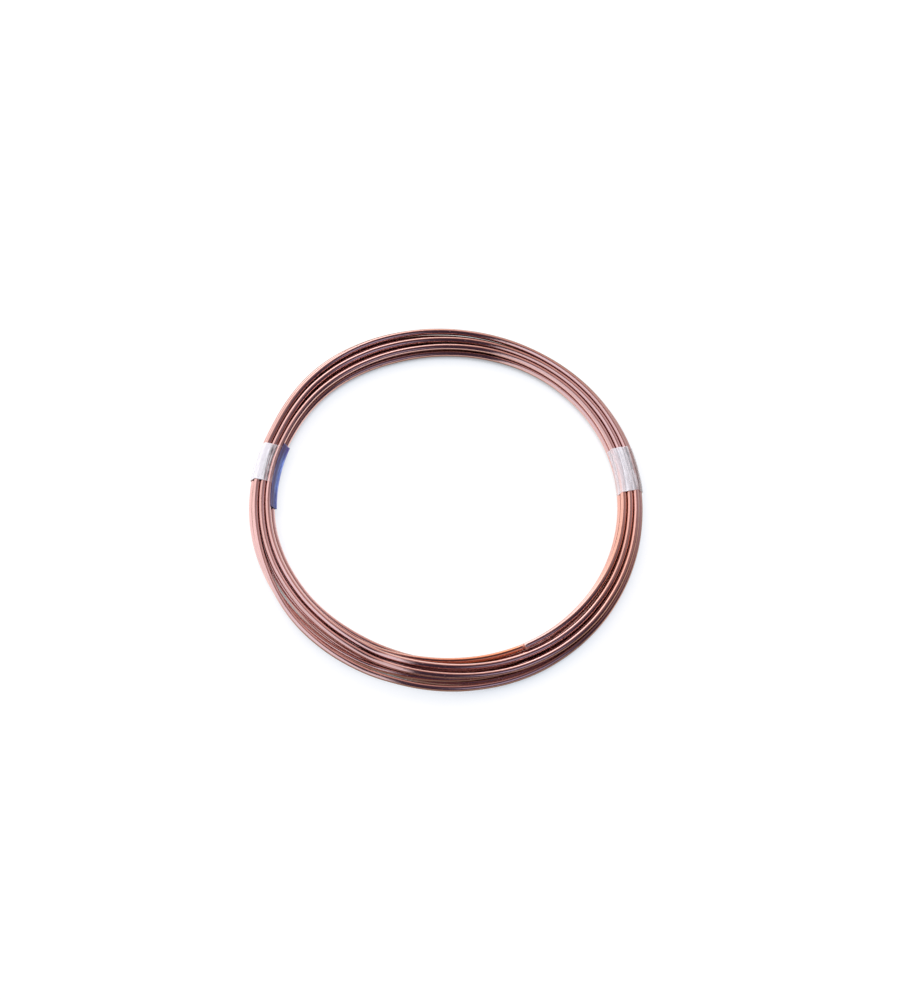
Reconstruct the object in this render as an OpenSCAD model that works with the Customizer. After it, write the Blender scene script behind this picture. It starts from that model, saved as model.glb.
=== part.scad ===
// Copper wire coil: one length of bare copper wire wound by hand into a ring,
// held by two bands of clear tape, with a slip of blue film in the left band.
// The turns lie close and even under the bands, and loosen between them.
// The coil lies flat on z = 0 with the middle of its box on the origin.
// Angles run counter-clockwise from +X; the front of the ring is at -Y.

/* [Wire] */
// Diameter of the bare wire
wire_d = 1.5; // [1:0.1:2.5]
// Air left between neighbouring turns
turn_gap = 0.04; // [0.03:0.01:0.2]

/* [Coil] */
// Diameter of the ring, through the middle of the bundle
coil_d = 88.8; // [60:0.2:160]
// Where the end in the top layer lies
top_end = 295.5; // [280:0.5:330]
// How far that end lies inside its turn's place, in steps of the winding
end_in = 0.3; // [0:0.05:0.6]
// Where the end in the low layer lies
low_end = 165; // [90:1:175]

/* [Looseness] */
// Spacing of the turns at the front, as a part of their spacing under the bands
front_spread = 1.52; // [1:0.02:1.6]
// The same at the back
back_spread = 1.46; // [1:0.02:1.6]
// How far the whole bundle bows outwards at the front
front_bow = 1.2; // [0:0.1:3]
// How far it bows outwards at the back
back_bow = 1; // [0:0.1:3]
// Air between the layers where the turns are loose
layer_air = 0.2; // [0.1:0.05:0.5]
// How far a loose turn wanders from its place, as a part of the added spacing
wander = 0.24; // [0:0.02:0.3]

/* [Tape bands] */
// Width of the right band, measured along the wire
right_w = 12; // [6:1:20]
// Width of the left band, measured along the wire
left_w = 10; // [6:1:20]
// Thickness of the tape
tape_t = 0.1; // [0.06:0.01:0.3]
// How far inside the bundle's middle the tape's free end lies
tape_lap = 0.8; // [-1:0.1:1.5]
// Middle of the right band
right_at = 10.5; // [0:0.5:40]
// Middle of the left band
left_at = 167; // [140:0.5:170]

/* [Blue slip] */
// Length along the wire
slip_len = 18.5; // [13:0.5:19]
// How far it reaches past the far edge of the left band
slip_over = 1.4; // [0:0.1:1.5]
// How far its lip stands in from the bundle
slip_lip = 0.5; // [0.3:0.1:2]
// Height of the leg that lies on the bundle
slip_foot = 1.8; // [0.8:0.1:2]
// Thickness of the film
slip_t = 0.12; // [0.08:0.01:0.3]

/* [Hidden] */
$fn = 64;
r = wire_d/2;
R = coil_d/2;
pitch = wire_d + turn_gap;          // middle to middle of touching turns
snug = 0.03;                        // air between wire, tape and slip
lift = tape_t + snug;               // the wire is held this far off the floor
trim = 0.05;                        // arcs stop this short of a joint, in mm
bead = 0.01;                        // a joint is this much fatter than the wire
past = 0.7;                         // degrees the turns run on past a band before they loosen

// Three layers of 3, 4 and 3 turns; turn 0 is in the top layer
top_turns = 3;
mid_turns = 4;
turns = 10;
outer_bend = top_turns - 1;         // the turn that leads down to the middle layer
inner_bend = outer_bend + mid_turns; // the turn that leads down to the low layer

// The turns keep their places this many degrees each side of a band's middle
inner = R - (mid_turns - 1)/2*pitch - r;
hold = asin(max(left_w, right_w)/2/inner) + past;
// The loose stretches between the bands
back = [right_at + hold, left_at - hold];
front = [left_at + hold, 360 + right_at - hold];

// Where the turns change places, as parts of the way round the front
mid_shift = [0.01, 0.53];           // the middle layer moves one step in
low_shift = [0.29, 0.68];           // the low layer moves one step out
top_shift = [0.23, 0.8];            // the top layer moves one step out
drop = [0.16, 0.72];                // the outer bend comes down one layer
tuck = [0.07, 0.44];                // the inner bend comes down one layer
swing = [0.07, 0.45];               // the outer bend swings wide,
swing_by = 0.4;                     // by this many steps

// Shape of the loose stretches
blunt = 0.9;                        // under 1, the turns spread sooner
spread_lean = 1.7;                  // over 1, the back is widest nearer to the left band
bow_lean = [2.6, 1.6];              // the same for the bow at the back and at the front
sway_waves = 2;                     // a loose turn sways in and out this often in a lap
sway_lag = 137;                     // degrees by which each turn's sway follows the last

// Place of turn k in the bundle: [steps out from the middle, layer]
function slot(k) =
    k < top_turns ? [max(k, 0) - 1, 2]
    : k < top_turns + mid_turns ? [(mid_turns - 1)/2 - (k - top_turns), 1]
    : [k - top_turns - mid_turns - 1, 0];

// How far a is from span[0] to span[1], from 0 to 1, and the same eased
function part(a, span) = min(1, max(0, (a - span[0])/(span[1] - span[0])));
function ease(a, span) = (1 - cos(180*part(a, span)))/2;
// 0 at both ends of span and 1 between; a lean over 1 puts the peak nearer to its end
function swell(a, span, lean = 1, full = 1) = pow(sin(180*pow(part(a, span), lean)), 2*full);

// How far round the front a turn is; it keeps its first place round the back
function way(a) = a < left_at ? 0 : part(a, front);
// The front runs on past +X, so angles up to the left band count as the end of it
function on(a) = a < left_at ? a + 360 : a;
function spread(a) =
    1 + (back_spread - 1)*swell(a, back, spread_lean, blunt)
      + (front_spread - 1)*swell(on(a), front, 1, blunt);
function bow(a) =
    back_bow*swell(a, back, bow_lean[0]) + front_bow*swell(on(a), front, bow_lean[1]);
function looseness(a) = swell(a, back, 1, 0.5) + swell(on(a), front, 1, 0.5);

// Height of a layer on the one below, when it has moved u steps over it
function nest(a, u) = let(
        wide = pitch*spread(a)*(0.5 - (u - floor(u))),
        far = pitch + layer_air*looseness(a))
    sqrt(far*far - wide*wide);

// Steps out from the middle of turn k at angle a
function steps(k, a) = let(
        w = way(a),
        layers = [slot(k)[1], slot(k + 1)[1]],
        mid = ease(w, mid_shift), low = ease(w, low_shift), top = ease(w, top_shift))
    slot(k)[0] + (
        k < 0 ? -end_in*(1 - ease(a, [top_end, front[1]]))
        : layers == [2, 2] ? top
        : layers == [1, 1] ? -mid
        : layers == [0, 0] ? low
        : layers == [2, 1] ? mid/2 + swing_by*swell(w, swing)
        : low - mid/2);

// Height of turn k's middle line at angle a
function height(k, a) = let(
        w = way(a),
        low = nest(a, ease(w, mid_shift) + ease(w, low_shift)),
        high = nest(a, ease(w, mid_shift) + steps(k, a) - slot(k)[0]),
        layer = slot(k)[1]
            - (k == outer_bend ? ease(w, drop) : k == inner_bend ? ease(w, tuck) : 0))
    lift + r + min(layer, 1)*low + max(layer - 1, 0)*high;

// The wire's middle line, t degrees on from +X, where turn 0 begins at 0
function at(t) = let(
        k = floor(t/360),
        a = t - 360*k,
        sway = wander*pitch*(spread(a) - 1)*sin(sway_waves*a + sway_lag*k),
        out = R + pitch*spread(a)*steps(k, a) + bow(a) + sway)
    [out*cos(t), out*sin(t), height(k, a)];

// The angles at which one arc of wire ends and the next begins
wire_from = top_end - 360;
wire_to = 360*(turns - 1) + low_end;
back_arcs = 3;
front_arcs = 4;
shortest = 4;
stops_in_lap = [
    right_at - hold,
    for (i = [0:back_arcs]) back[0] + (back[1] - back[0])*i/back_arcs,
    for (i = [0:front_arcs - 1]) front[0] + (front[1] - front[0])*i/front_arcs
];
stops = [
    wire_from,
    for (k = [-1:turns - 1]) for (a = stops_in_lap)
        if (360*k + a > wire_from + shortest && 360*k + a < wire_to - shortest) 360*k + a,
    wire_to
];

// The ring is moved so that the middle of its box is on the origin
line_step = 2;
line = [for (t = [wire_from:line_step:wire_to]) at(t)];
box_mid = [for (i = [0, 1]) (min([for (p = line) p[i]]) + max([for (p = line) p[i]]))/2];
module placed() translate([-box_mid[0], -box_mid[1], 0]) children();

// An arc of wire from a to b through m
module stretch(a, m, b) {
    am = m - a;
    ab = b - a;
    n = cross(am, ab);
    mid = a + (cross(n, am)*(ab*ab) + cross(ab, n)*(am*am))/(2*n*n);
    rad = norm(a - mid);
    x = (a - mid)/rad;
    z = n/norm(n);
    y = cross(z, x);
    sweep = (atan2((b - mid)*y, (b - mid)*x) + 360) % 360;
    cut = trim/rad*180/PI;
    multmatrix([[x[0], y[0], z[0], mid[0]], [x[1], y[1], z[1], mid[1]], [x[2], y[2], z[2], mid[2]]])
        rotate_extrude(angle = sweep - 2*cut, start = cut)
            translate([rad, 0]) circle(r);
}

// A bead where two arcs meet, its poles along the wire
module joint(t) {
    along = at(t + 1) - at(t - 1);
    translate(at(t))
        rotate([0, acos(along[2]/norm(along)), atan2(along[1], along[0])])
            sphere(r + bead);
}

module wire()
    color([0.80, 0.52, 0.45])
        placed() union() {
            for (i = [0:len(stops) - 2])
                stretch(at(stops[i]), at((stops[i] + stops[i + 1])/2), at(stops[i + 1]));
            for (i = [1:len(stops) - 2])
                joint(stops[i]);
        }

// Outline of the whole bundle at the bands, grown by g
module bundle(g)
    offset(r = g) hull()
        for (k = [0:turns - 1])
            translate([R + pitch*slot(k)[0], height(k, right_at)]) circle(r);

// The tape in its section: once round, its free end lapped over the outer side and the top
module tape_section()
    difference() {
        union() {
            bundle(snug + tape_t);
            intersection() {
                bundle(snug + 2*tape_t);
                translate([R - tape_lap, height(outer_bend + 1, right_at)]) square(R);
            }
        }
        bundle(snug);
    }

// A band of width w has parallel edges, square to the wire at its middle
module band(a, w)
    color([0.90, 0.91, 0.94, 0.35])
        placed() intersection() {
            rotate_extrude(angle = 2*hold, start = a - hold) tape_section();
            rotate(a) translate([0, -w/2, 0]) cube([2*R, w, R]);
        }

module tape_right() band(right_at, right_w);
module tape_left() band(left_at, left_w);

// The slip in its section: a leg up the inner side of the bundle, and a lip inwards
module slip_section() {
    clear = 2*snug + tape_t;
    mid_height = height(top_turns, left_at);
    intersection() {
        difference() {
            bundle(clear + slip_t);
            bundle(clear);
        }
        translate([0, mid_height]) square([R, slip_foot]);
    }
    translate([inner - clear - slip_lip, mid_height])
        square([slip_lip - slip_t/2, slip_t]);
}

module blue_slip()
    color([0.46, 0.49, 0.72])
        placed()
            rotate_extrude(
                angle = slip_len/R*180/PI,
                start = left_at - (left_w/2 + slip_over)/R*180/PI)
                slip_section();

wire();
tape_left();
tape_right();
blue_slip();
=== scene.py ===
import math

import bpy
import numpy as np
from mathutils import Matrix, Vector


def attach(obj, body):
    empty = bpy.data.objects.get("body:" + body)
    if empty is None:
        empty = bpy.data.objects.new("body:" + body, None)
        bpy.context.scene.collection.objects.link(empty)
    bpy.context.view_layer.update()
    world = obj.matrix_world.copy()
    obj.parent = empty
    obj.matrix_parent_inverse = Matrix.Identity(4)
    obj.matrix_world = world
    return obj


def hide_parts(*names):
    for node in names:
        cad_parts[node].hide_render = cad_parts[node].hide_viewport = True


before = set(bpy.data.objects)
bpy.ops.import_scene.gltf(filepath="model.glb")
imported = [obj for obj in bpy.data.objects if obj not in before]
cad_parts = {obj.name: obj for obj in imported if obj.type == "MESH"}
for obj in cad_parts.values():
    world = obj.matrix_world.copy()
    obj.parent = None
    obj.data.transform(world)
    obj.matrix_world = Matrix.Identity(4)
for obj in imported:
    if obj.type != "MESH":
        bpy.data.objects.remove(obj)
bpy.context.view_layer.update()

MM = 0.001

# -------------------------------------------------- sizes, in mm and degrees, as in part.scad
WIRE_D = 1.5
TURN_GAP = 0.04
COIL_D = 88.8
TOP_END = 295.5
END_IN = 0.3
LOW_END = 165.0
FRONT_SPREAD = 1.52
BACK_SPREAD = 1.46
FRONT_BOW = 1.2
BACK_BOW = 1.0
LAYER_AIR = 0.2
WANDER = 0.24
RIGHT_W = 12.0
LEFT_W = 10.0
TAPE_T = 0.1
TAPE_LAP = 0.8
RIGHT_AT = 10.5
LEFT_AT = 167.0
SLIP_LEN = 18.5
SLIP_OVER = 1.4
SLIP_LIP = 0.5
SLIP_FOOT = 1.8
SNUG = 0.03
PAST = 0.7

R_WIRE = WIRE_D / 2
R_COIL = COIL_D / 2
PITCH = WIRE_D + TURN_GAP
LIFT = TAPE_T + SNUG
TOP_TURNS = 3
MID_TURNS = 4
TURNS = 10
OUTER_BEND = TOP_TURNS - 1
INNER_BEND = OUTER_BEND + MID_TURNS
INNER = R_COIL - (MID_TURNS - 1) / 2 * PITCH - R_WIRE
HOLD = math.degrees(math.asin(max(LEFT_W, RIGHT_W) / 2 / INNER)) + PAST
BACK = (RIGHT_AT + HOLD, LEFT_AT - HOLD)
FRONT = (LEFT_AT + HOLD, 360 + RIGHT_AT - HOLD)
WIRE_FROM = TOP_END - 360
WIRE_TO = 360 * (TURNS - 1) + LOW_END
LINE_STEP = 2

# where the turns change places, as parts of the way round the front
MID_SHIFT = (0.01, 0.53)
LOW_SHIFT = (0.29, 0.68)
TOP_SHIFT = (0.23, 0.8)
DROP = (0.16, 0.72)
TUCK = (0.07, 0.44)
SWING = (0.07, 0.45)
SWING_BY = 0.4
# the shape of the loose stretches
BLUNT = 0.9
SPREAD_LEAN = 1.7
BOW_LEAN = (2.6, 1.6)
SWAY_WAVES = 2
SWAY_LAG = 137

# -------------------------------------------------- sizes of the visual pieces, in mm
ROUTE_STEP = 0.5     # degrees between the points of the wire's route
RING_STEP = 1.15     # between the rings of the wire's tube
SIDES = 26
SMOOTHING = 6        # passes over the route, which kinks faintly where a turn begins to change places
BEND_SEED = 5
# bends left by hand winding: (length of the wave, how far)
BENDS = ((41, 0.03), (23, 0.03), (11, 0.015))
# a cut end's rim: (how far from the end, share of the radius)
RIM = ((0.0, 0.88), (0.035, 0.96), (0.09, 1.0))
# the orange stretch of painted reflection, standing in for light that the copper strands throw on each
# other, lies on the inner turn that runs up to the end in the top layer; in degrees
REFLECTION_TURN = INNER_BEND - 1
REFLECTION_FROM = 246
REFLECTION_TO = TOP_END - 3

CORNER_POINTS = 9    # points round each corner of the tape's section
EDGE_STEP = 0.12     # between its points along a side
FILM_T = 0.06        # the real tape is thinner than its solid
DIP = 0.11           # how far the tape sinks between two strands
LAP_FLAT = 0.45      # share of that which is lost where it lies on its own start
LAP_RISE = 1.02 * TAPE_T
CLIMB = 12           # points in which it climbs there
RIM_W = 0.2          # width of its hazy edges
# rows of points across its width: those near an edge, by how far in they lie, and the others
EDGE_ROWS = np.array((0, 0.08, 0.25))
FIRST_ROW = 0.6
TAPE_ROWS = 27
# each tape: node, middle, width, where it is clear and where it is white with painted reflection, how
# white, seed;
# the two places are measured outwards from the bundle's middle
TAPES = (
    ("tape_left", LEFT_AT, LEFT_W, (-0.4, 1.3), 0.55, 3),
    ("tape_right", RIGHT_AT, RIGHT_W, (2.3, -1.4), 0.34, 8),
)

SLIP_AIR = 0.01      # kept between the slip and the faces of its solid
SLIP_FILM = 0.08
SLIP_BEND = 0.18     # radius of its bend
SLIP_KNEE = np.radians((25, 50, 75))
LIP_POINTS = 5
SLIP_ROWS = 49
# the lip's wave: how high, how far it lifts, and (length over 2 pi, start, share) of each part
LIP_WAVE = 0.07
LIP_LIFT = 0.05
LIP_WAVES = ((2.3, 0.7, 0.5), (0.95, 2, 0.3))


# -------------------------------------------------- the wire's route
def slot(k):
    """Steps out from the middle of the bundle, and the layer, for turn k."""
    if k < TOP_TURNS:
        return max(k, 0) - 1.0, 2
    if k < TOP_TURNS + MID_TURNS:
        return (MID_TURNS - 1) / 2 - (k - TOP_TURNS), 1
    return k - TOP_TURNS - MID_TURNS - 1.0, 0


def part(a, span):
    """How far a is from span[0] to span[1], from 0 to 1."""
    return np.clip((a - span[0]) / (span[1] - span[0]), 0, 1)


def ease(a, span):
    """The same, starting and ending gently."""
    return (1 - np.cos(np.pi * part(a, span))) / 2


def swell(a, span, lean=1.0, full=1.0):
    """0 at both ends of span and 1 between; a lean over 1 puts the peak nearer to its end."""
    return np.abs(np.sin(np.pi * part(a, span) ** lean)) ** (2 * full)


def way(a):
    """How far round the front a turn is; it keeps its first place round the back."""
    return np.where(a < LEFT_AT, 0.0, part(a, FRONT))


def on(a):
    """The front runs on past +X, so angles up to the left band count as the end of it."""
    return np.where(a < LEFT_AT, a + 360, a)


def spread(a):
    """Spacing of the turns, as a part of their spacing under the bands."""
    return (1 + (BACK_SPREAD - 1) * swell(a, BACK, SPREAD_LEAN, BLUNT)
            + (FRONT_SPREAD - 1) * swell(on(a), FRONT, 1, BLUNT))


def bow(a):
    """How far the whole bundle bows outwards."""
    return BACK_BOW * swell(a, BACK, BOW_LEAN[0]) + FRONT_BOW * swell(on(a), FRONT, BOW_LEAN[1])


def looseness(a):
    """0 under the bands and 1 half way between them."""
    return swell(a, BACK, 1, 0.5) + swell(on(a), FRONT, 1, 0.5)


def nest(a, u):
    """Height of a layer on the one below, when it has moved u steps over it."""
    wide = PITCH * spread(a) * (0.5 - (u - np.floor(u)))
    return np.sqrt((PITCH + LAYER_AIR * looseness(a)) ** 2 - wide ** 2)


def steps(k, a):
    """Steps out from the middle of turn k at angle a."""
    if k < 0:
        return slot(k)[0] - END_IN * (1 - ease(a, (TOP_END, FRONT[1])))
    w = way(a)
    mid, low, top = ease(w, MID_SHIFT), ease(w, LOW_SHIFT), ease(w, TOP_SHIFT)
    # by the layers that the turn leaves and comes to
    moves = {
        (2, 2): top,
        (2, 1): mid / 2 + SWING_BY * swell(w, SWING),
        (1, 1): -mid,
        (1, 0): low - mid / 2,
        (0, 0): low,
    }
    return slot(k)[0] + moves[slot(k)[1], slot(k + 1)[1]]


def height(k, a):
    """Height of turn k's middle line at angle a."""
    w = way(a)
    low = nest(a, ease(w, MID_SHIFT) + ease(w, LOW_SHIFT))
    high = nest(a, ease(w, MID_SHIFT) + steps(k, a) - slot(k)[0])
    down = {OUTER_BEND: ease(w, DROP), INNER_BEND: ease(w, TUCK)}
    layer = slot(k)[1] - down.get(k, 0)
    return LIFT + R_WIRE + np.minimum(layer, 1) * low + np.maximum(layer - 1, 0) * high


def in_lap(k, a):
    """The wire's middle line in lap k, at the angles a."""
    sway = WANDER * PITCH * (spread(a) - 1) * np.sin(np.radians(SWAY_WAVES * a + SWAY_LAG * k))
    out = R_COIL + PITCH * spread(a) * steps(k, a) + bow(a) + sway
    t = np.radians(a)
    return np.stack([out * np.cos(t), out * np.sin(t), height(k, a)], axis=1)


def along_wire(step):
    """The middle line from its end in the top layer to the low one, a point each step degrees."""
    t = np.append(np.arange(WIRE_FROM, WIRE_TO, step), WIRE_TO)
    laps = np.floor(t / 360)
    return np.concatenate([in_lap(k, t[laps == k] - 360 * k) for k in range(-1, TURNS)])


# the ring is moved so that the middle of its box is on the origin
line = along_wire(LINE_STEP)
BOX_MID = (line.min(axis=0) + line.max(axis=0)) / 2 * (1, 1, 0)


def distances(points):
    """How far along the line each of its points is."""
    return np.append(0, np.cumsum(np.linalg.norm(np.diff(points, axis=0), axis=1)))


def resample(points, step):
    """The same line with its points a fixed distance apart."""
    along = distances(points)
    at = np.linspace(0, along[-1], int(along[-1] / step) + 1)
    return np.stack([np.interp(at, along, points[:, i]) for i in range(3)], axis=1)


def smooth(points, passes):
    """The same points, each moved half way to the middle of its neighbours in every pass."""
    for _ in range(passes):
        points[1:-1] = points[1:-1] * 0.5 + (points[:-2] + points[2:]) * 0.25
    return points


# -------------------------------------------------- mesh helpers
def mesh_object(name, verts, faces, uvs, materials=(), marks=None):
    """A smooth mesh from verts in mm. uvs holds one (u, v) for each corner of each face, materials the
    number of each face's material, and marks a value for each point under each name."""
    mesh = bpy.data.meshes.new(name)
    mesh.from_pydata([tuple(v) for v in (np.asarray(verts) - BOX_MID) * MM], [], faces)
    layer = mesh.uv_layers.new(name="along")
    layer.data.foreach_set("uv", np.asarray(uvs, dtype=float).ravel())
    for mark, values in (marks or {}).items():
        attribute = mesh.attributes.new(mark, "FLOAT", "POINT")
        attribute.data.foreach_set("value", np.asarray(values, dtype=float))
    mesh.polygons.foreach_set("use_smooth", [True] * len(mesh.polygons))
    if len(materials):
        mesh.polygons.foreach_set("material_index", materials)
    mesh.update()
    piece = bpy.data.objects.new(name, mesh)
    bpy.context.scene.collection.objects.link(piece)
    return piece


def tube(name, points, radius, sides):
    """A round wire along points, with flat cut ends in a second material and slightly rounded rims."""
    tangent = np.gradient(points, axis=0)
    tangent /= np.linalg.norm(tangent, axis=1)[:, None]
    side = np.cross(tangent, (0, 0, 1))
    side /= np.linalg.norm(side, axis=1)[:, None]
    top = np.cross(side, tangent)
    along = distances(points)
    angle = np.linspace(0, 2 * math.pi, sides, endpoint=False)
    last = len(points) - 1
    rings = [(0, ahead, radius * share) for ahead, share in RIM]
    rings += [(i, 0.0, radius) for i in range(1, last)]
    rings += [(last, -ahead, radius * share) for ahead, share in reversed(RIM)]
    verts = np.concatenate([
        points[i] + tangent[i] * ahead
        + r * (np.cos(angle)[:, None] * side[i] + np.sin(angle)[:, None] * top[i])
        for i, ahead, r in rings])
    length = [along[i] + ahead for i, ahead, _ in rings]
    faces, uvs = [], []
    for i in range(len(rings) - 1):
        for j in range(sides):
            n = (j + 1) % sides
            faces.append((i * sides + j, i * sides + n, (i + 1) * sides + n, (i + 1) * sides + j))
            uvs += [(j / sides, length[i]), ((j + 1) / sides, length[i]),
                    ((j + 1) / sides, length[i + 1]), (j / sides, length[i + 1])]
    final = (len(rings) - 1) * sides
    faces += [tuple(reversed(range(sides))), tuple(final + j for j in range(sides))]
    uvs += [(math.cos(a), math.sin(a)) for a in angle] * 2
    return mesh_object(name, verts, faces, uvs, [0] * (len(faces) - 2) + [1, 1])


def film_grid(name, faces_in, faces_out, place, marks, stretch):
    """A closed film from its two faces, given as arrays [along, across, (out, up)]. place gives x and y
    from out and the row, and stretch holds the mm across and the mm along, for the material."""
    rows, cols = faces_in.shape[:2]
    verts = []
    for grid in (faces_in, faces_out):
        for i in range(rows):
            for j in range(cols):
                o, u = grid[i, j]
                verts.append((*place(o, i), u))
    back = rows * cols
    faces, uvs = [], []

    def quad(*corners):
        """One face from its corners, each (row, column, 0 on the inner face or 1 on the outer)."""
        faces.append(tuple(i * cols + j + back * far for i, j, far in corners))
        uvs.extend((stretch[0][j], stretch[1][i]) for i, j, _ in corners)

    for i in range(rows - 1):
        for j in range(cols - 1):
            quad((i, j, 0), (i, j + 1, 0), (i + 1, j + 1, 0), (i + 1, j, 0))
            quad((i, j, 1), (i + 1, j, 1), (i + 1, j + 1, 1), (i, j + 1, 1))
    for i in range(rows - 1):
        quad((i, 0, 0), (i + 1, 0, 0), (i + 1, 0, 1), (i, 0, 1))
        quad((i, cols - 1, 0), (i, cols - 1, 1), (i + 1, cols - 1, 1), (i + 1, cols - 1, 0))
    for j in range(cols - 1):
        quad((0, j, 0), (0, j, 1), (0, j + 1, 1), (0, j + 1, 0))
        quad((rows - 1, j, 0), (rows - 1, j + 1, 0), (rows - 1, j + 1, 1), (rows - 1, j, 1))
    on_both = {mark: np.tile(values.ravel(), 2) for mark, values in marks.items()}
    return mesh_object(name, verts, faces, uvs, marks=on_both)


# -------------------------------------------------- the wire
def unevenly_bent(points, seed):
    """Small bends left by hand winding, always inwards so that the coil keeps its size."""
    rng = np.random.default_rng(seed)
    along = np.linspace(0, RING_STEP * (len(points) - 1), len(points))
    bend = np.zeros(len(points))
    for wave, by in BENDS:
        stretched, start, drift = [rng.uniform(*span) for span in ((0.9, 1.1), (0, 6), (0, 6))]
        turning = along * 2 * math.pi / (wave * stretched) + start
        turning += 1.5 * np.sin(along / (3.1 * wave) + drift)
        bend += by * (1 + np.sin(turning)) / 2
    inwards = -points[:, :2] / np.linalg.norm(points[:, :2], axis=1)[:, None]
    points[:, :2] += inwards * bend[:, None]
    return points


def make_wire():
    """The wire, its length, and where its orange stretch of painted reflection begins and ends, in mm
    from the end on top.
    """
    route = along_wire(ROUTE_STEP)
    along = distances(route)
    reflection_span = [float(along[int((360 * REFLECTION_TURN + a - WIRE_FROM) / ROUTE_STEP)])
              for a in (REFLECTION_FROM, REFLECTION_TO)]
    points = unevenly_bent(smooth(resample(route, RING_STEP), SMOOTHING), BEND_SEED)
    piece = tube("copper_wire", points, R_WIRE, SIDES)
    length = float(np.linalg.norm(np.diff(points, axis=0), axis=1).sum())
    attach(piece, "root")
    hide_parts("wire")
    return piece, length, reflection_span


# -------------------------------------------------- the films
# the turns at the corners of the bundle, counter-clockwise in its section from the low inner one
CORNERS = (7, 9, 3, 2, 0, 6)
# the middles of all turns in that section, as (out, up)
STRANDS = np.array([(R_COIL + PITCH * slot(k)[0], float(height(k, np.float64(RIGHT_AT))))
                    for k in range(TURNS)])


def bundle_outline(grow):
    """Once round the bundle, grown by this much, from the middle of its outer side:
    points (out, up), outward normals, and how far each point is from the nearest strand."""
    points, normals = [], []
    ring = [STRANDS[k] for k in CORNERS]
    for i, here in enumerate(ring):
        before, after = ring[i - 1], ring[(i + 1) % len(ring)]
        a0 = math.atan2(*(here - before)[::-1]) - math.pi / 2
        a1 = math.atan2(*(after - here)[::-1]) - math.pi / 2
        turn = (a1 - a0) % (2 * math.pi)
        for a in a0 + turn * np.linspace(0, 1, CORNER_POINTS):
            n = np.array((math.cos(a), math.sin(a)))
            points.append(here + n * (R_WIRE + grow))
            normals.append(n)
        edge = int(np.linalg.norm(after - here) / EDGE_STEP)
        for _ in range(edge - 1):
            points.append(points[-1] + (after - here) / edge)
            normals.append(normals[-1])
    points, normals = np.array(points), np.array(normals)
    first = int(np.argmax(points[:, 0]))
    points, normals = np.roll(points, -first, axis=0), np.roll(normals, -first, axis=0)
    gaps = np.linalg.norm(points[:, None] - STRANDS[None], axis=2).min(axis=1) - R_WIRE - grow
    return points, normals, gaps


def ripples(rng, s, across):
    """Gentle waves over a film whose points lie at s along the wire and at across round the bundle."""
    waves = np.zeros((len(s), len(across)))
    for _ in range(5):
        high, often_along, often_across, start = [
            rng.uniform(*span) for span in ((0.3, 1), (0.3, 1.1), (0.2, 0.9), (0, 6))]
        waves += high * np.sin(np.outer(s, [often_along]) + across * often_across + start)
    return waves / 3


def make_tape(node, middle, wide, clear_and_white, how_white, seed):
    """A tape once round the bundle from the middle of its outer side, then lapped on itself up and over
    the top."""
    rng = np.random.default_rng(seed)
    points, normals, gaps = bundle_outline(SNUG)
    on_top = points[:, 1] > STRANDS[0][1]
    lap = int(np.argmax(on_top & (points[:, 0] < R_COIL - TAPE_LAP)))
    order = list(range(len(points))) + list(range(lap + 1))
    points, normals, gaps = points[order], normals[order], gaps[order]
    across = distances(points)
    layer = np.clip((np.arange(len(order)) - (len(order) - lap - CLIMB - 2)) / CLIMB, 0, 1)
    bridge = gaps / gaps.max()
    half = wide / 2
    s = np.concatenate([EDGE_ROWS - half, np.linspace(-half + FIRST_ROW, half - FIRST_ROW, TAPE_ROWS),
                        (half - EDGE_ROWS)[::-1]])
    wave = ripples(rng, s, across)
    sink = DIP * np.sin(np.pi / 2 * bridge) ** 2 * (1 - LAP_FLAT * layer) * (0.85 + 0.15 * wave)
    lift_in = LAP_RISE * layer - sink
    inner = points + normals * lift_in[:, :, None]
    outer = points + normals * (lift_in + FILM_T)[:, :, None]
    # the film shows most where it bridges two strands, at its edges and at its two ends
    rim = np.clip(1 - (half - np.abs(s)) / RIM_W, 0, 1)[:, None]
    end = np.zeros(len(order))
    end[[0, -1]] = 1
    veil = np.maximum(np.maximum(bridge * np.ones_like(sink), rim), end)
    # painted reflection: the film turns whiter and more opaque towards one side of the bundle, where it
    # would mirror the bright room
    reflected_white = part(points[:, 0] - R_COIL, clear_and_white)
    reflected_white = how_white * reflected_white * reflected_white * (3 - 2 * reflected_white) * np.ones_like(sink)
    turn = math.radians(middle)

    def place(o, i):
        """Where row i lies, o out from the ring's middle; the rows are parallel."""
        x, y = math.sqrt(o * o - s[i] * s[i]), s[i]
        return x * math.cos(turn) - y * math.sin(turn), x * math.sin(turn) + y * math.cos(turn)

    piece = film_grid("clear_" + node, inner, outer, place, {"veil": veil, "reflected_white": reflected_white}, (across, s))
    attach(piece, "root")
    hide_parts(node)
    return piece


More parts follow.
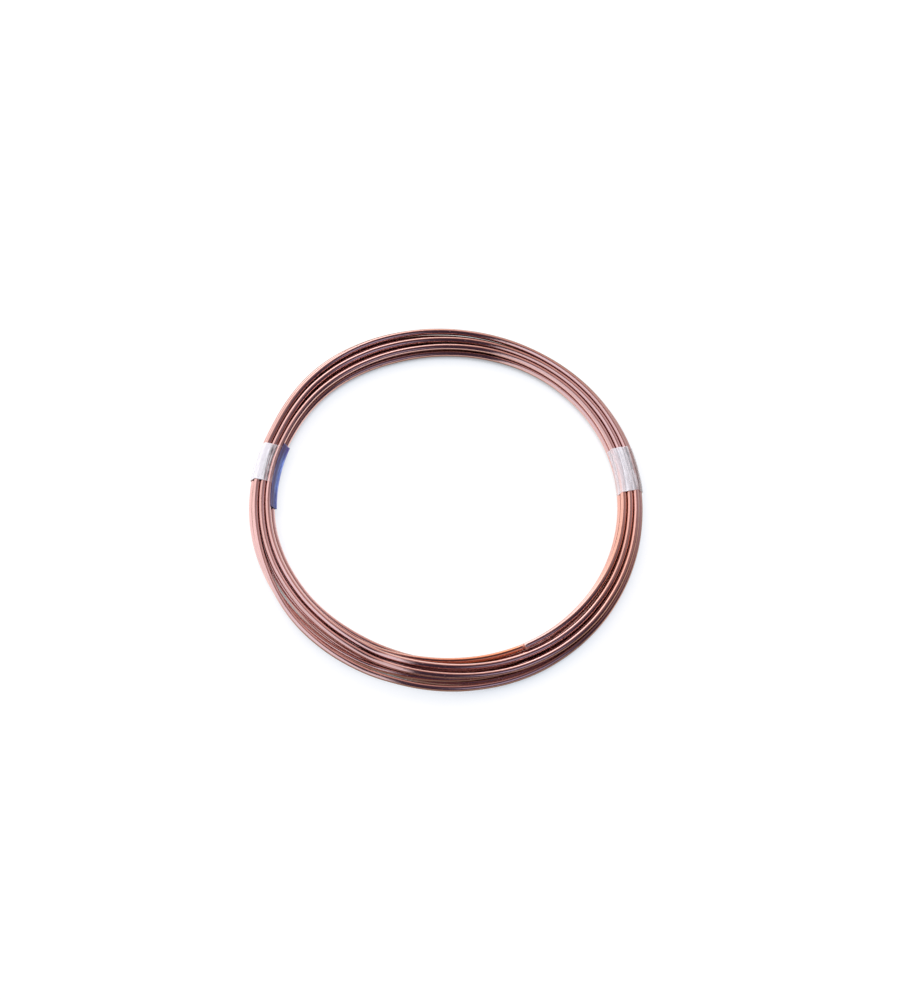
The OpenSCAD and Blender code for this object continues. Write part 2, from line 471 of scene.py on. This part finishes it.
def make_slip():
    """A strip of film bent to an L: a leg up the inner side of the bundle and a wavy lip inwards."""
    points, normals, _ = bundle_outline(2 * SNUG + TAPE_T + SLIP_AIR)
    mid_up = STRANDS[TOP_TURNS][1]
    inner_side = points[:, 0] < STRANDS[INNER_BEND][0]
    inner_side &= (points[:, 1] >= mid_up - SLIP_AIR) & (points[:, 1] < mid_up + SLIP_FOOT)
    leg, leg_n = points[inner_side], normals[inner_side]
    downwards = np.argsort(-leg[:, 1])
    leg, leg_n = leg[downwards], leg_n[downwards]
    edge = INNER - 2 * SNUG - TAPE_T
    knee = [(edge - SLIP_BEND * (1 - math.cos(a)), mid_up + SLIP_BEND * (1 - math.sin(a)))
            for a in SLIP_KNEE]
    knee_n = [(-math.cos(a), math.sin(a)) for a in SLIP_KNEE]
    lip_end = edge - SLIP_LIP + 2 * SLIP_AIR
    lip = [(o, mid_up) for o in np.linspace(edge - SLIP_BEND, lip_end, LIP_POINTS)]
    section = np.concatenate([leg, knee, lip])
    facing = np.concatenate([leg_n, knee_n, [(0, 1)] * len(lip)])
    across = distances(section)
    along = np.linspace(0, SLIP_LEN, SLIP_ROWS)
    from_knee = np.clip(edge - section[:, 0], 0, None) / SLIP_LIP
    wave = sum(share * np.sin(along / length + start) for length, start, share in LIP_WAVES)
    lower = np.repeat(section[None], len(along), axis=0)
    lower[:, :, 1] += np.outer(LIP_WAVE * wave + LIP_LIFT, from_knee ** 2)
    upper = lower + facing * SLIP_FILM
    start_at = math.radians(LEFT_AT) - (LEFT_W / 2 + SLIP_OVER) / R_COIL
    rim = np.zeros((len(along), len(section)))
    rim[[0, -1], :] = 1
    rim[:, [0, -1]] = 1

    def place(o, i):
        """Where row i lies, o out from the ring's middle; the rows follow the ring."""
        a = start_at + along[i] / R_COIL
        return o * math.cos(a), o * math.sin(a)

    piece = film_grid("blue_film_slip", lower, upper, place, {"veil": rim}, (across, along))
    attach(piece, "root")
    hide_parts("blue_slip")
    return piece


# -------------------------------------------------- colours
PALE_COPPER = (0.92, 0.595, 0.545)
DEEP_COPPER = (0.80, 0.485, 0.42)
TARNISH = (0.62, 0.35, 0.30)
HANDLED = (0.52, 0.27, 0.22)
# painted reflection: orange that the copper strands throw on each other
REFLECTED_ORANGE = (1.0, 0.36, 0.15)
# painted reflection: a warmer tint where the strands light each other
WARM_REFLECTION = (0.97, 0.50, 0.34)
# painted shade in the grooves between the strands
GROOVE_SHADE_COLOUR = (0.20, 0.08, 0.09)
FRESH_COPPER = (0.97, 0.66, 0.55)
TORN_COPPER = ((0.97, 0.68, 0.57), (0.88, 0.55, 0.44))
# the film's colour, and the colour of its painted highlights
CLEAR_TAPE = ((0.98, 0.96, 0.98), (1.0, 0.99, 1.0))
BLUE_FILM = ((0.10, 0.12, 0.36), (0.17, 0.21, 0.50))
# painted light on the slip
BRIGHT_BLUE = (0.28, 0.42, 0.92)
PURPLE = (0.19, 0.13, 0.42)
# painted shade where the slip lies against the bundle
SHADE_BLUE = (0.09, 0.05, 0.15)
RIM_BLUE = (0.32, 0.36, 0.68)
FLOOR_COLOUR = (0.30, 0.24, 0.16)
FLOOR_GLOW = (0.72, 0.78, 0.86)

# -------------------------------------------------- where the looks change
# along the wire or the slip, in mm
FRESH = (0.25, 0.6)      # from a cut end, the fresh metal fades between these
REFLECTION_COMES = 22          # the orange stretch of painted reflection fades in over this length
REFLECTION_GOES = 3            # and out over this one
SLIP_LIT = (1.5, 5, 11, 15)  # painted light on the slip: fades in between the first two and out between the last two
SLIP_PURPLE = (0, 4.5)   # from its far end
SLIP_SHADE = (0.7, 1.3)   # painted shade against the bundle, from its upper edge
# across the coil, in metres
# where the warmer painted reflection lies, at the right of the coil
WARM_REFLECTION_X = (0.030, 0.040, 0.0445, 0.0465)
WARM_REFLECTION_Y = (0.000, 0.014)
SHADE_REACH = 0.0009          # how far out the painted groove shade looks for the groove's other side


# -------------------------------------------------- materials
class Nodes:
    """A node tree, with short ways to add to it. A value is a number, a colour or a node's output."""

    def __init__(self, tree):
        self.tree = tree

    def add(self, kind, **settings):
        """A new node."""
        node = self.tree.nodes.new(kind)
        for key, value in settings.items():
            setattr(node, key, value)
        return node

    def feed(self, socket, value):
        """Gives a socket its value."""
        if isinstance(value, (int, float)):
            socket.default_value = value
        elif isinstance(value, tuple):
            socket.default_value = (*value, 1)
        else:
            self.tree.links.new(value, socket)

    def math(self, how, a, b=0.0):
        """The result of one piece of arithmetic."""
        node = self.add("ShaderNodeMath", operation=how)
        self.feed(node.inputs[0], a)
        self.feed(node.inputs[1], b)
        return node.outputs[0]

    def span(self, value, lo, hi, to_lo, to_hi):
        """to_lo where value is lo or less, to_hi where it is hi or more, and smooth between."""
        node = self.add("ShaderNodeMapRange", interpolation_type="SMOOTHSTEP")
        for name, number in (("From Min", lo), ("From Max", hi), ("To Min", to_lo), ("To Max", to_hi)):
            node.inputs[name].default_value = number
        self.feed(node.inputs["Value"], value)
        return node.outputs["Result"]

    def blend(self, how_much, a, b, how="MIX"):
        """a where how_much is 0 and b where it is 1; with ADD, that much of b on top of a."""
        node = self.add("ShaderNodeMix", data_type="RGBA", blend_type=how)
        self.feed(node.inputs["Factor"], how_much)
        self.feed(node.inputs["A"], a)
        self.feed(node.inputs["B"], b)
        return node.outputs["Result"]

    def split(self, vector):
        """The three parts of a vector."""
        node = self.add("ShaderNodeSeparateXYZ")
        self.feed(node.inputs[0], vector)
        return node.outputs

    def join(self, *parts):
        """A vector from up to three parts."""
        node = self.add("ShaderNodeCombineXYZ")
        for socket, value in zip(node.inputs, parts):
            self.feed(socket, value)
        return node.outputs[0]

    def noise(self, place, spots, detail, rough):
        """Noise with about this many spots in a unit of place, each way."""
        node = self.add("ShaderNodeTexNoise")
        node.inputs["Scale"].default_value = 1.0
        node.inputs["Detail"].default_value = detail
        node.inputs["Roughness"].default_value = rough
        size = self.add("ShaderNodeVectorMath", operation="MULTIPLY")
        size.inputs[1].default_value = spots
        self.feed(size.inputs[0], place)
        self.feed(node.inputs["Vector"], size.outputs[0])
        return node.outputs["Fac"]


class Paint(Nodes):
    """The nodes of a new material, round its Principled shader."""

    def __init__(self, name):
        self.mat = bpy.data.materials.new(name)
        self.mat.use_nodes = True
        super().__init__(self.mat.node_tree)
        self.bsdf = self.tree.nodes["Principled BSDF"]

    def set(self, **values):
        """Gives the shader its values; an underscore stands for a space in a socket's name."""
        for name, value in values.items():
            self.feed(self.bsdf.inputs[name.replace("_", " ")], value)

    def bump(self, height, strength, distance):
        """Relief, its distance in metres."""
        node = self.add("ShaderNodeBump")
        node.inputs["Strength"].default_value = strength
        node.inputs["Distance"].default_value = distance
        self.feed(node.inputs["Height"], height)
        self.feed(self.bsdf.inputs["Normal"], node.outputs["Normal"])

    def mark(self, name):
        """A value that the mesh holds for each of its points."""
        return self.add("ShaderNodeAttribute", attribute_name=name).outputs["Fac"]

    def here(self):
        """The place in the part's own frame, in metres."""
        return self.split(self.add("ShaderNodeTexCoord").outputs["Object"])

    def uv(self):
        """u and v: on the wire, the share of the way round and the mm along; on a film, both in mm."""
        outputs = self.split(self.add("ShaderNodeUVMap", uv_map="along").outputs[0])
        return outputs[0], outputs[1]


def copper(length, reflection_span):
    """Drawn copper with tarnish, marks, painted shade in its grooves, an orange and a warmer stretch of
    painted reflection, and fresh ends.
    """
    p = Paint("bright_copper")
    round_it, v = p.uv()
    turn = p.math("MULTIPLY", round_it, 2 * math.pi)
    place = p.join(p.math("COSINE", turn), p.math("SINE", turn), v)
    tone = p.noise(place, spots=(0.9, 0.9, 0.03), detail=3, rough=0.6)
    tarnish = p.noise(place, spots=(1.6, 1.6, 0.16), detail=4, rough=0.62)
    tarnish = p.span(tarnish, 0.54, 0.72, 0, 1)
    lines = p.noise(place, spots=(11, 11, 0.05), detail=3, rough=0.6)
    marks = p.noise(place, spots=(3.2, 3.2, 1.1), detail=2, rough=0.5)
    marks = p.span(marks, 0.66, 0.74, 0, 1)

    base = p.blend(p.span(tone, 0.35, 0.65, 0, 1), PALE_COPPER, DEEP_COPPER)
    base = p.blend(p.math("MULTIPLY", tarnish, 0.45), base, TARNISH)
    base = p.blend(p.math("MULTIPLY", marks, 0.45), base, HANDLED)
    # painted reflection: an orange stretch, standing in for light bounced between the strands
    orange_reflection = p.math("MULTIPLY", p.span(v, reflection_span[0], reflection_span[0] + REFLECTION_COMES, 0, 1),
                  p.span(v, reflection_span[1] - REFLECTION_GOES, reflection_span[1], 1, 0))
    base = p.blend(p.math("MULTIPLY", orange_reflection, p.span(lines, 0.3, 0.6, 0.95, 0.6)), base, REFLECTED_ORANGE)
    # painted reflection: a warmer patch at the right, where the strands light each other
    x, y, _ = p.here()
    warm_reflection = p.math("MULTIPLY", p.span(x, *WARM_REFLECTION_X[:2], 0, 1), p.span(x, *WARM_REFLECTION_X[2:], 1, 0))
    warm_reflection = p.math("MULTIPLY", warm_reflection, p.span(y, *WARM_REFLECTION_Y, 1, 0))
    base = p.blend(p.math("MULTIPLY", warm_reflection, p.span(tone, 0.35, 0.6, 0.75, 0.30)), base, WARM_REFLECTION)
    # painted shade: darker where strands lie close, in the grooves between them
    groove_shade = p.add("ShaderNodeAmbientOcclusion", samples=4, only_local=True)
    groove_shade.inputs["Distance"].default_value = SHADE_REACH
    base = p.blend(p.span(groove_shade.outputs["AO"], 0.15, 0.62, 0.72, 0), base, GROOVE_SHADE_COLOUR)
    from_end = p.math("MINIMUM", v, p.math("SUBTRACT", length, v))
    base = p.blend(p.span(from_end, *FRESH, 1, 0), base, FRESH_COPPER)

    rough = p.span(lines, 0.35, 0.65, 0.10, 0.17)
    rough = p.math("ADD", rough, p.math("MULTIPLY", tarnish, 0.07))
    rough = p.math("ADD", rough, p.math("MULTIPLY", marks, 0.15))
    # the highlight is drawn out by the fine lines along the wire
    round_about = p.add("ShaderNodeTangent", direction_type="UV_MAP", uv_map="along")
    p.set(Base_Color=base, Metallic=1.0, Roughness=rough, Anisotropic=0.75,
          Tangent=round_about.outputs[0])
    relief = p.math("SUBTRACT", p.math("MULTIPLY", lines, 0.6), p.math("MULTIPLY", marks, 0.8))
    p.bump(relief, strength=0.22, distance=0.00004)
    return p.mat


def cut_copper():
    """The torn face that cutters leave."""
    p = Paint("cut_copper")
    tear = p.noise(p.join(*p.uv()), spots=(9, 1.2, 1), detail=3, rough=0.6)
    p.set(Base_Color=p.blend(tear, *TORN_COPPER), Metallic=1.0,
          Roughness=p.span(tear, 0.3, 0.7, 0.28, 0.5))
    p.bump(tear, strength=0.5, distance=0.00008)
    return p.mat


def clear_film():
    """Clear tape, hazy where it bridges the strands, along its edges and in creases; painted reflection
    makes it whiter towards one side of the bundle, and painted highlights run in streaks.
    """
    p = Paint("clear_film")
    place = p.join(*p.uv())
    streaks = p.noise(place, spots=(1.25, 0.11, 1), detail=2, rough=0.5)
    creases = p.noise(place, spots=(1.9, 0.8, 1), detail=2, rough=0.5)
    # painted highlights: bright streaks along the strands, whiter and more opaque
    bright = p.span(streaks, 0.55, 0.63, 0, 1)
    haze = p.math("ADD", p.span(p.mark("veil"), 0.3, 0.95, 0.03, 0.12), p.mark("reflected_white"))
    haze = p.math("ADD", haze, p.math("MULTIPLY", bright, 0.24))
    haze = p.math("ADD", haze, p.span(creases, 0.35, 0.7, -0.02, 0.05))
    haze = p.math("MAXIMUM", p.math("MINIMUM", haze, 0.94), 0.02)
    p.set(Base_Color=p.blend(bright, *CLEAR_TAPE), Roughness=p.span(creases, 0.3, 0.7, 0.10, 0.22),
          Alpha=haze, IOR=1.6)
    relief = p.math("ADD", p.math("MULTIPLY", creases, 0.5), streaks)
    p.bump(relief, strength=0.14, distance=0.00010)
    return p.mat


def blue_film():
    """Blue film, with painted light in the middle of its length, purple at its far end and painted
    shade against the bundle.
    """
    p = Paint("blue_film")
    u, v = p.uv()
    place = p.join(u, v)
    streaks = p.noise(place, spots=(2.2, 0.35, 1), detail=3, rough=0.6)
    specks = p.noise(place, spots=(5, 3, 1), detail=2, rough=0.5)
    base = p.blend(p.span(streaks, 0.35, 0.65, 0, 1), *BLUE_FILM)
    # painted light in the middle of the slip's length
    lit = p.math("MULTIPLY", p.span(v, *SLIP_LIT[:2], 0, 1), p.span(v, *SLIP_LIT[2:], 1, 0))
    base = p.blend(p.math("MULTIPLY", lit, p.span(streaks, 0.40, 0.6, 0.45, 1)), base, BRIGHT_BLUE)
    base = p.blend(p.math("MULTIPLY", p.span(v, *SLIP_PURPLE, 1, 0), 0.7), base, PURPLE)
    # painted shade where the slip lies against the bundle
    base = p.blend(p.math("MULTIPLY", p.span(u, *SLIP_SHADE, 1, 0), 0.85), base, SHADE_BLUE)
    base = p.blend(p.math("MULTIPLY", p.mark("veil"), 0.3), base, RIM_BLUE)
    p.set(Base_Color=base, Roughness=p.span(specks, 0.3, 0.7, 0.24, 0.42))
    relief = p.math("ADD", streaks, p.math("MULTIPLY", specks, 0.3))
    p.bump(relief, strength=0.3, distance=0.00012)
    return p.mat


# -------------------------------------------------- light, floor and camera
# the dim parts of the room
DIM = (0.048, 0.034, 0.060)
# where the room is bright: (towards, starts at, full at, colour); starts and full are cosines
LIT = (
    ((-0.985, 0.174, 0.00), 0.19, 0.29, (0.80, 0.88, 1.00)),
    ((-0.34, 0.93, 0.17), 0.35, 0.85, (0.30, 0.15, 0.06)),
    ((-0.27, 0.94, 0.22), 0.90, 0.975, (2.00, 2.15, 2.20)),
    ((0.50, 0.72, 0.48), 0.60, 0.97, (0.32, 0.27, 0.29)),
    ((0.69, 0.71, 0.10), 0.86, 0.97, (0.26, 0.36, 0.44)),
    ((0.41, -0.58, 0.71), 0.90, 0.985, (0.34, 0.38, 0.54)),
)
# the pale backdrop hangs low behind the coil
BACKDROP = ((-0.30, 0.85, -0.43), 0.55, 0.85)

# the lamp, in metres and watts
LAMP_AT = (-0.20, 0.20, 0.90)
LAMP_SIDE = 1.5
LAMP_POWER = 10.5

# the floor, in metres
FLOOR_SIDE = 3
FLOOR_SHADE = 0.005  # how far under and beside the wire its glow fades, a painted shadow
# in metal it is bright at the left and in the eye, and dimmer in front, behind and at the right
FLOOR_Y = (0.022, 0.040)
FLOOR_X = (0.042, 0.046)

# the camera, in metres
CAMERA_AWAY = 0.65
CAMERA_UP = math.radians(63)  # over the floor
CAMERA_SEES = 0.2409          # from top to bottom
CAMERA_AIM = Vector((0.0010, 0.00112, 0.0026))
SENSOR = 36                   # in mm


def make_room():
    """A dim room, bright at the left and behind; the camera and the clear film see plain white,
    and metal sees that white where the backdrop hangs."""
    world = bpy.data.worlds.new("studio")
    bpy.context.scene.world = world
    world.use_nodes = True
    world.node_tree.nodes.clear()
    room = Nodes(world.node_tree)
    towards = room.add("ShaderNodeTexCoord").outputs["Generated"]

    def inside(way_in, lo, hi):
        """0 away from this side of the room, and 1 well inside it."""
        dot = room.add("ShaderNodeVectorMath", operation="DOT_PRODUCT")
        dot.inputs[1].default_value = Vector(way_in).normalized()
        room.feed(dot.inputs[0], towards)
        return room.span(dot.outputs["Value"], lo, hi, 0, 1)

    colour = DIM
    for way_in, lo, hi, tint in LIT:
        colour = room.blend(inside(way_in, lo, hi), colour, tint, "ADD")
    walls = room.add("ShaderNodeBackground")
    room.feed(walls.inputs["Color"], colour)
    white = room.add("ShaderNodeBackground")
    white.inputs["Color"].default_value = (1, 1, 1, 1)
    path = room.add("ShaderNodeLightPath").outputs
    plain = room.math("MAXIMUM", path["Is Camera Ray"], path["Is Transmission Ray"])
    plain = room.math("MAXIMUM", plain, room.math("MULTIPLY", path["Is Glossy Ray"], inside(*BACKDROP)))
    mix = room.add("ShaderNodeMixShader")
    room.feed(mix.inputs["Fac"], plain)
    room.feed(mix.inputs[1], walls.outputs[0])
    room.feed(mix.inputs[2], white.outputs[0])
    room.feed(room.add("ShaderNodeOutputWorld").inputs["Surface"], mix.outputs[0])


def make_lamp():
    """A large soft lamp overhead, which metal doesn't mirror."""
    light = bpy.data.lights.new("key", "AREA")
    light.shape = "RECTANGLE"
    light.size = LAMP_SIDE
    light.size_y = LAMP_SIDE
    light.energy = LAMP_POWER
    lamp = bpy.data.objects.new("key", light)
    lamp.location = LAMP_AT
    lamp.rotation_euler = (-lamp.location).to_track_quat("-Z", "Y").to_euler()
    lamp.visible_glossy = False
    bpy.context.scene.collection.objects.link(lamp)


def make_floor():
    """A floor that keeps a faint shadow, and is white to the camera, in clear film and in metal."""
    bpy.ops.mesh.primitive_plane_add(size=FLOOR_SIDE, location=(0, 0, 0))
    floor = bpy.context.object
    floor.name = "studio_floor"
    p = Paint("floor_white")
    path = p.add("ShaderNodeLightPath").outputs
    x, y, _ = p.here()
    beside = p.math("MULTIPLY", p.span(p.math("ABSOLUTE", y), *FLOOR_Y, 1, 0.05),
                    p.span(x, *FLOOR_X, 1, 0.25))
    seen = p.math("MAXIMUM", path["Is Camera Ray"], path["Is Transmission Ray"])
    seen = p.math("MAXIMUM", seen, p.math("MULTIPLY", path["Is Glossy Ray"], beside))
    # painted shadow: the floor's glow fades under and beside the wire
    under = p.add("ShaderNodeAmbientOcclusion", samples=8)
    under.inputs["Distance"].default_value = FLOOR_SHADE
    seen = p.math("MULTIPLY", seen, p.span(under.outputs["AO"], 0.10, 0.52, 0.08, 1))
    p.set(Base_Color=FLOOR_COLOUR, Roughness=0.6, Emission_Color=FLOOR_GLOW,
          Emission_Strength=seen)
    floor.data.materials.append(p.mat)


def make_camera():
    """A camera in front of the coil, looking down on it."""
    cam = bpy.data.cameras.new("camera")
    cam.sensor_fit = "VERTICAL"
    cam.sensor_height = SENSOR
    cam.sensor_width = SENSOR
    cam.lens = SENSOR * CAMERA_AWAY / CAMERA_SEES
    cam.clip_start = 0.01
    holder = bpy.data.objects.new("camera", cam)
    back = Vector((0, -math.cos(CAMERA_UP), math.sin(CAMERA_UP)))
    holder.location = CAMERA_AIM + back * CAMERA_AWAY
    holder.rotation_euler = (-back).to_track_quat("-Z", "Y").to_euler()
    bpy.context.scene.collection.objects.link(holder)
    bpy.context.scene.camera = holder


# -------------------------------------------------- the scene
make_camera()
wire, wire_length, reflection_span = make_wire()
wire.data.materials.append(copper(wire_length, reflection_span))
wire.data.materials.append(cut_copper())
film = clear_film()
for tape in TAPES:
    make_tape(*tape).data.materials.append(film)
make_slip().data.materials.append(blue_film())
make_room()
make_lamp()
make_floor()
bpy.context.scene.view_settings.view_transform = "Standard"
